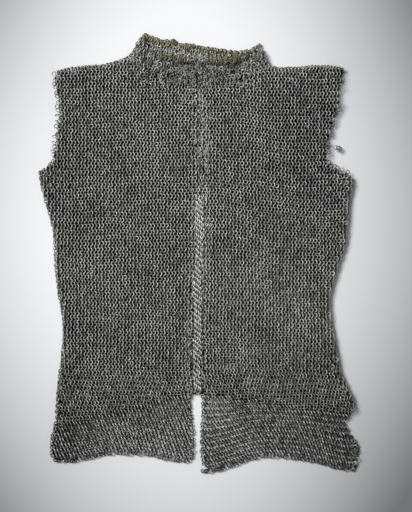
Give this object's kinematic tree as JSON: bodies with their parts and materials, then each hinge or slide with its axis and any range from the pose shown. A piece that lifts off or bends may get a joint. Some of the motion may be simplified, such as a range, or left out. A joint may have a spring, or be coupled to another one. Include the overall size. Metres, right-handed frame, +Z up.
{
  "type": "sleeveless mail shirt",
  "caption": "Sleeveless steel mail shirt with a brass-edged collar, laid flat on its back; the open front's lapels fold outward and its tails fold up.",
  "frame": {"origin": "centre of the shirt's outline, on the ground that it lies on", "axes": "+Y toward the collar, +X toward the viewer's right as the front is seen, which is the wearer's left, +Z up from the ground through the back and then the front"},
  "size_m": [0.5765, 0.7904, 0.018],
  "materials": {
    "steel_mail": "aged dark grey wire rings, worn bright on the outer faces",
    "brass_mail": "dull aged brass wire rings"
  },
  "bodies": {
    "shirt": {"back_panel": "steel_mail", "back_collar": "steel_mail", "left_side_fold": "steel_mail", "right_side_fold": "steel_mail", "left_shoulder_fold": "steel_mail", "right_shoulder_fold": "steel_mail", "left_collar_fold": "steel_mail", "right_collar_fold": "steel_mail", "front_left_panel": "steel_mail", "front_right_panel": "steel_mail", "back_brass_rings": "brass_mail"},
    "left_lapel": {"left_lapel_panel": "steel_mail", "left_collar_wing": "steel_mail", "left_wing_brass_rings": "brass_mail"},
    "right_lapel": {"right_lapel_panel": "steel_mail", "right_collar_wing": "steel_mail", "right_wing_brass_rings": "brass_mail"},
    "left_tail": {"left_tail_panel": "steel_mail", "left_tail_tuck": "steel_mail"},
    "right_tail": {"right_tail_panel": "steel_mail", "right_tail_edge_rings": "steel_mail"}
  },
  "joints": [
    {"name": "left_lapel_fold", "type": "hinge", "parent": "shirt", "child": "left_lapel", "pos_m": [-0.05307, 0.12736, 0.0195], "axis": [0.1322, -0.9912, 0], "range_deg": [0, 170]},
    {"name": "right_lapel_fold", "type": "hinge", "parent": "shirt", "child": "right_lapel", "pos_m": [0.05771, 0.119, 0.0195], "axis": [0.1672, 0.9859, 0], "range_deg": [0, 170]},
    {"name": "left_tail_fold", "type": "hinge", "parent": "shirt", "child": "left_tail", "pos_m": [-0.1305, -0.27502, 0.0195], "axis": [-0.9707, -0.2404, 0], "range_deg": [0, 170]},
    {"name": "right_tail_fold", "type": "hinge", "parent": "shirt", "child": "right_tail", "pos_m": [0.13485, -0.26547, 0.0195], "axis": [-0.9867, 0.1629, 0], "range_deg": [0, 170]}
  ]
}
